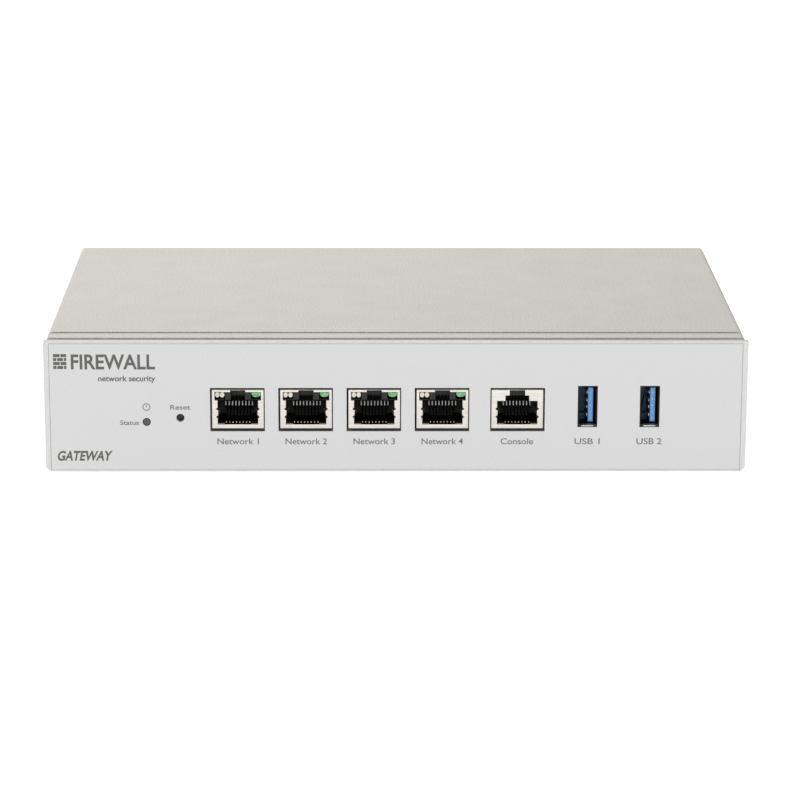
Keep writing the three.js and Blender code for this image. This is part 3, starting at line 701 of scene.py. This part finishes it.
def makeUsbContacts(node, name):
    # four leaf springs on the tongue's left face, each with a raised crest
    s = usbShape
    low, high = nodeBox(node)
    middle = (low[2] + high[2]) / 2
    face = (low[0] + high[0]) / 2 + s["tongueFace"]
    nose = low[1]
    leaves = []
    for height in s["contactHeights"]:
        z = middle + height
        leaf = addBlock("leaf", (face - 0.22, nose + 1.4, z - 0.38), (face - 0.02, nose + 8.2, z + 0.38))
        makeActive(leaf)
        bpy.ops.object.mode_set(mode="EDIT")
        bpy.ops.mesh.select_all(action="SELECT")
        bpy.ops.mesh.subdivide(number_cuts=9)
        bpy.ops.object.mode_set(mode="OBJECT")
        for vertex in leaf.data.vertices:
            along = (vertex.co.y / mm - nose - s["crestBack"]) / 0.9
            vertex.co.x -= s["crest"] * mm * math.exp(-along * along)
        leaves.append(roundEdges(leaf, 0.04, 1, 60))
    return smoothByAngle(joinAll(name, leaves), 40)


def makeUsbPads(node, name):
    # five small flush contacts at the tongue's nose
    low, high = nodeBox(node)
    middle = (low[2] + high[2]) / 2
    x = (low[0] + high[0]) / 2 + usbShape["tongueFace"] + 0.8
    pads = []
    for height in usbShape["padHeights"]:
        z = middle + height
        pad = addBlock("pad", (x - 0.1, low[1] - 0.1, z - 0.12), (x + 0.1, low[1] + 0.3, z + 0.12))
        pads.append(roundEdges(pad, 0.03, 2))
    return smoothByAngle(joinAll(name, pads), 40)


def makeUsbSockets():
    for number in (1, 2):
        low, high = nodeBox(f"usb_{number}_shell")
        insulatorNode = f"usb_{number}_insulator"
        shell = makeUsbShell(low, high, f"usb{number}_shellCan")
        # the USB shells take the nickel darkened as painted shade
        dress(shell, finishes["shadedNickel"], standsFor=[f"usb_{number}_shell"])
        insulator = makeUsbInsulator(insulatorNode, f"usb{number}_tongue")
        # the insulator in the darker blue is painted shade; the nose cap carries the lighter, lit blue
        dress(insulator, finishes["shadedBlue"], standsFor=[insulatorNode])
        dress(makeUsbNose(insulatorNode, f"usb{number}_nose"), finishes["blue"])
        dress(makeUsbSill(low, high, f"usb{number}_sill"), finishes["nickel"])
        # dark navy block as painted shade deep in the socket
        dress(makeUsbShadeBlock(low, high, f"usb{number}_shadeBlock"), finishes["navy"])
        dress(makeUsbCorners(low, high, f"usb{number}_corners"), finishes["black"])
        dress(makeUsbContacts(insulatorNode, f"usb{number}_contacts"), finishes["leaf"])
        dress(makeUsbPads(insulatorNode, f"usb{number}_pads"), finishes["leaf"])


makeUsbSockets()
print("USB sockets done")


def makeStatusLight():
    low, high = nodeBox("status_light_pipe")
    x, z = (low[0] + high[0]) / 2, (low[2] + high[2]) / 2
    lens = addRound("statusLens", "y", 1.15, (x, low[1], z), high[1] - 1, 48)
    # domed nose: the front rim is rounded over
    editFaces(lens, lambda middle, normal: normal.y < -0.5)
    bpy.ops.mesh.bevel(offset=0.35 * mm, segments=4, affect="EDGES")
    bpy.ops.object.mode_set(mode="OBJECT")
    stem = addRound("stem", "y", 1.75, (x, high[1] - 3.5, z), high[1], 48)
    addTo(lens, stem)
    dress(smoothByAngle(lens), finishes["smokedLens"], standsFor=["status_light_pipe"])


def makeResetButton():
    low, high = nodeBox("reset_button")
    x, z = (low[0] + high[0]) / 2, (low[2] + high[2]) / 2
    plunger = addRound("resetPlunger", "y", 0.95, (x, low[1], z), high[1], 40)
    collar = addRound("collar", "y", 1.6, (x, low[1] + 4.1, z), low[1] + 5, 40)
    addTo(plunger, collar)
    roundEdges(plunger, 0.2, 3)
    dress(smoothByAngle(plunger), finishes["darkGrey"], "reset_button", ["reset_button"])


makeStatusLight()
makeResetButton()
print("status light and reset button done")


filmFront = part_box("front_face_sheet")[0][1] / mm
labels = {
    "portSize": 2.65, "portBase": 11.85, "networkWidth": 12.6, "consoleWidth": 9.9, "usbWidth": 7.65,
    "smallSize": 2.05, "resetBase": 22.75, "resetWidth": 6.1, "statusBase": 17.95, "statusWidth": 5.7,
    "weight": 0.03, "inkDepth": 0.012,
    "mark": (-103.2, 35.4, 0.95), "word": "FIREWALL", "wordLeft": -97.9, "wordRight": -72.6,
    "wordBase": 35.4, "wordSize": 6.4, "line": "network security", "lineBase": 31.6, "lineSize": 2.5,
    "corner": "GATEWAY", "cornerLeft": -102.8, "cornerBase": 6.8, "cornerSize": 4.15, "slant": 0.2,
}


def addLabel(name, text, x, base, size, align="CENTER", finish="ink", weight=None, width=None, slant=0.0):
    deselectAll()
    bpy.ops.object.text_add(location=(0, 0, 0))
    label = bpy.context.object
    label.data.body = text
    label.data.size = size * mm
    label.data.align_x = align
    label.data.offset = (labels["weight"] if weight is None else weight) * mm
    label.data.extrude = labels["inkDepth"] * mm
    label.name = name
    makeActive(label)
    bpy.ops.object.convert(target="MESH")
    label = bpy.context.object
    if width:
        label.scale.x = width * mm / label.dimensions.x
    label.rotation_euler = (math.pi / 2, 0, 0)
    bpy.ops.object.transform_apply(location=True, rotation=True, scale=True)
    # the printed width itself is what lines up, not the space round the letters
    places = [vertex.co.x for vertex in label.data.vertices]
    edge = {"LEFT": min(places), "RIGHT": max(places), "CENTER": (min(places) + max(places)) / 2}[align]
    shift = (x * mm - edge, (filmFront - 0.013) * mm, base * mm)
    label.data.transform(Matrix.Translation(shift))
    for vertex in label.data.vertices:
        vertex.co.x += slant * (vertex.co.z - base * mm)
    return dress(label, finishes[finish])


def makePortLabels():
    base, size, small = labels["portBase"], labels["portSize"], labels["smallSize"]
    for number in range(1, 5):
        x = socketPlace(f"ethernet_{number}_shield")[0]
        addLabel(f"label_network{number}", f"Network {number}", x, base, size, width=labels["networkWidth"])
    x = socketPlace("console_shield")[0]
    addLabel("label_console", "Console", x, base, size, width=labels["consoleWidth"])
    for number in (1, 2):
        low, high = nodeBox(f"usb_{number}_shell")
        x = (low[0] + high[0]) / 2
        addLabel(f"label_usb{number}", f"USB {number}", x, base, size, width=labels["usbWidth"])
    low, high = nodeBox("reset_button")
    x = (low[0] + high[0]) / 2
    addLabel("label_reset", "Reset", x, labels["resetBase"], small, width=labels["resetWidth"])
    low, high = nodeBox("status_light_pipe")
    x = low[0] - 0.6
    addLabel("label_status", "Status", x, labels["statusBase"], small, "RIGHT", width=labels["statusWidth"])


def inkBlock(x0, x1, z0, z1):
    return addBlock("ink", (x0, filmFront - 0.025, z0), (x1, filmFront - 0.001, z1))


def makePowerSign():
    # ring with a short upright stroke above the status light
    low, high = nodeBox("status_light_pipe")
    x, z = (low[0] + high[0]) / 2, (low[2] + high[2]) / 2 + 4.67
    ring = addRound("sign_power", "y", 1.18, (x, filmFront - 0.025, z), filmFront - 0.001, 48)
    cutAway(ring, addRound("bore", "y", 0.92, (x, filmFront - 1, z), filmFront + 1, 48))
    sign = joinAll("sign_power", [ring, inkBlock(x - 0.13, x + 0.13, z - 0.1, z + 0.7)])
    dress(sign, finishes["ink"])


def makeMark():
    # plain brick wall of four courses beside a plain word, and two short generic lines
    left, bottom, brick = labels["mark"]
    bricks = []
    for course in range(4):
        z = bottom + course * (brick + 0.28)
        cuts = [0, 2.2, 4.2] if course % 2 else [0, 1.2, 3.2, 4.2]
        for start, end in zip(cuts, cuts[1:]):
            bricks.append(inkBlock(left + start, left + end - 0.24, z, z + brick))
    dress(joinAll("sign_wall", bricks), finishes["boldInk"])
    width = labels["wordRight"] - labels["wordLeft"]
    addLabel(
        "label_word", labels["word"], labels["wordLeft"], labels["wordBase"], labels["wordSize"],
        "LEFT", "boldInk", 0.14, width)
    addLabel(
        "label_line", labels["line"], labels["wordRight"], labels["lineBase"], labels["lineSize"],
        "RIGHT", "boldInk", 0.05, 17.2)
    addLabel(
        "label_corner", labels["corner"], labels["cornerLeft"], labels["cornerBase"], labels["cornerSize"],
        "LEFT", "boldInk", 0.13, 16.4, labels["slant"])


makePortLabels()
makePowerSign()
makeMark()
print("lettering done")


rockerFace = {"hinge": (-62, 61.5, 24), "tilt": 12, "valley": 1.9, "rise": 1.1, "reach": 5.6, "mark": 3.1}


def placeOnRocker(mark, side):
    # from flat round the origin to one half of the rocker's dished face, at the rocker's modelled tilt
    f = rockerFace
    slope = math.atan2(f["rise"], f["reach"])
    height = side * f["mark"]
    outward = f["valley"] + f["rise"] * f["mark"] / f["reach"]
    place = Matrix.Translation(Vector(f["hinge"]) * mm) @ Matrix.Rotation(math.radians(-f["tilt"]), 4, "X")
    lift = Matrix.Translation(Vector((0, outward, height)) * mm)
    mark.data.transform(place @ lift @ Matrix.Rotation(-side * slope, 4, "X"))
    return dress(mark, finishes["whiteInk"], "power_rocker")


def makePowerSwitch():
    frameBody = roundEdges(mergedCopy("power_switch_frame", "powerSwitchFrame"), 0.3, 3)
    dress(smoothByAngle(frameBody), finishes["nylon"], standsFor=["power_switch_frame"])
    paddle = roundEdges(mergedCopy("power_rocker", "powerRocker"), 0.25, 3)
    dress(smoothByAngle(paddle), finishes["nylon"], "power_rocker", ["power_rocker"])
    stroke = addBlock("mark_on", (-0.2, -0.05, -0.9), (0.2, 0.05, 0.9))
    placeOnRocker(stroke, 1)
    ring = addRound("mark_off", "y", 1.0, (0, -0.05, 0), 0.05, 40)
    cutAway(ring, addRound("bore", "y", 0.68, (0, -1, 0), 1, 40))
    placeOnRocker(ring, -1)


def makeInlet():
    body = roundEdges(mergedCopy("power_inlet_body", "powerInletBody"), 0.25, 3)
    dress(smoothByAngle(body), finishes["nylon"], standsFor=["power_inlet_body"])
    pin = roundEdges(mergedCopy("power_inlet_pin", "powerInletPin"), 0.3, 3)
    dress(smoothByAngle(pin), finishes["nickel"], standsFor=["power_inlet_pin"])


def makeFeetAndScrews():
    for end in ("front", "rear"):
        for side in ("left", "right"):
            node = f"foot_{end}_{side}"
            pad = roundEdges(mergedCopy(node, f"foot_{end}{side.title()}"), 0.35, 3, 25)
            dress(smoothByAngle(pad), finishes["rubber"], standsFor=[node])
            node = f"cover_screw_{end}_{side}"
            screw = roundEdges(mergedCopy(node, f"coverScrew_{end}{side.title()}"), 0.06, 2, 40)
            dress(smoothByAngle(screw), finishes["zinc"], standsFor=[node])


makePowerSwitch()
makeInlet()
makeFeetAndScrews()
print("power switch, inlet, feet and screws done")


def dressRest():
    plan = {
        "zinc": ["board_screw_", "heat_sink_screw_", "coin_cell"],
        "brass": ["standoff_"],
        "aluminium": ["heat_sink"],
        "board": ["main_board", "memory_module", "storage_module"],
        "epoxy": ["processor", "memory_socket", "storage_socket", "battery_holder", "reset_switch_body"],
    }
    for finish, starts in plan.items():
        for node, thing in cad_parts.items():
            screw = "screw" in node
            if any(node.startswith(start) for start in starts) and not (finish == "aluminium" and screw):
                thing.data.materials.clear()
                thing.data.materials.append(finishes[finish])


dressRest()
print("inner pieces dressed")


def makeStage():
    deselectAll()
    bpy.ops.mesh.primitive_plane_add(size=8, location=(0, 0, 0))
    floor = takeNew("floor")
    # pale sweep lit from below, so that it stays white round the object
    material, tree, shader, place = startMaterial("paleFloor", Roughness=0.9)
    shader.inputs["Emission Color"].default_value = (1, 1, 1, 1)
    shader.inputs["Emission Strength"].default_value = 0.95
    tone = grain(tree, place, 400, 1)
    tree.links.new(blendColours(tree, tone, "#8a8a8a", "#8e8e8e"), shader.inputs["Base Color"])
    floor.data.materials.append(material)
    world = bpy.data.worlds.new("softRoom")
    bpy.context.scene.world = world
    world.use_nodes = True
    world.node_tree.nodes["Background"].inputs["Color"].default_value = (1, 1, 1, 1)
    world.node_tree.nodes["Background"].inputs["Strength"].default_value = 0.3


lights = {
    "top": {"place": (-0.5, 0.9, 1.25), "aim": (0, 0, 0), "size": (1.8, 1.3), "power": 26.0},
    "front": {"place": (0.05, -1.9, 0.13), "aim": (0, 0, 0.02), "size": (1.8, 0.2), "power": 11.3},
}


def addLights():
    for name, light in lights.items():
        data = bpy.data.lights.new(name, "AREA")
        data.shape = "RECTANGLE"
        data.size, data.size_y = light["size"]
        data.energy = light["power"]
        lamp = bpy.data.objects.new(name, data)
        bpy.context.collection.objects.link(lamp)
        lamp.location = light["place"]
        towards = Vector(light["aim"]) - Vector(light["place"])
        lamp.rotation_euler = towards.to_track_quat("-Z", "Y").to_euler()


camera = {
    # measured from the middle of the front panel's top edge, millimetres and degrees
    "right": -9.4, "ahead": 934.7, "above": 232.2, "lens": 144.1, "down": 15.0, "turn": -0.65, "roll": 0.156,
}


def addCamera():
    panelLow, panelHigh = nodeBox("front_panel")
    data = bpy.data.cameras.new("productCamera")
    data.lens = camera["lens"]
    data.sensor_width = 36
    view = bpy.data.objects.new("productCamera", data)
    bpy.context.collection.objects.link(view)
    place = (camera["right"], panelLow[1] - camera["ahead"], panelHigh[2] + camera["above"])
    turn = Matrix.Rotation(math.radians(camera["turn"]), 4, "Z")
    tilt = Matrix.Rotation(math.radians(90 - camera["down"]), 4, "X")
    roll = Matrix.Rotation(math.radians(camera["roll"]), 4, "Z")
    view.matrix_world = Matrix.Translation(Vector(place) * mm) @ turn @ tilt @ roll
    bpy.context.scene.camera = view


makeStage()
addLights()
addCamera()
bpy.context.scene.view_settings.view_transform = "Standard"
print("stage, lights and camera done")
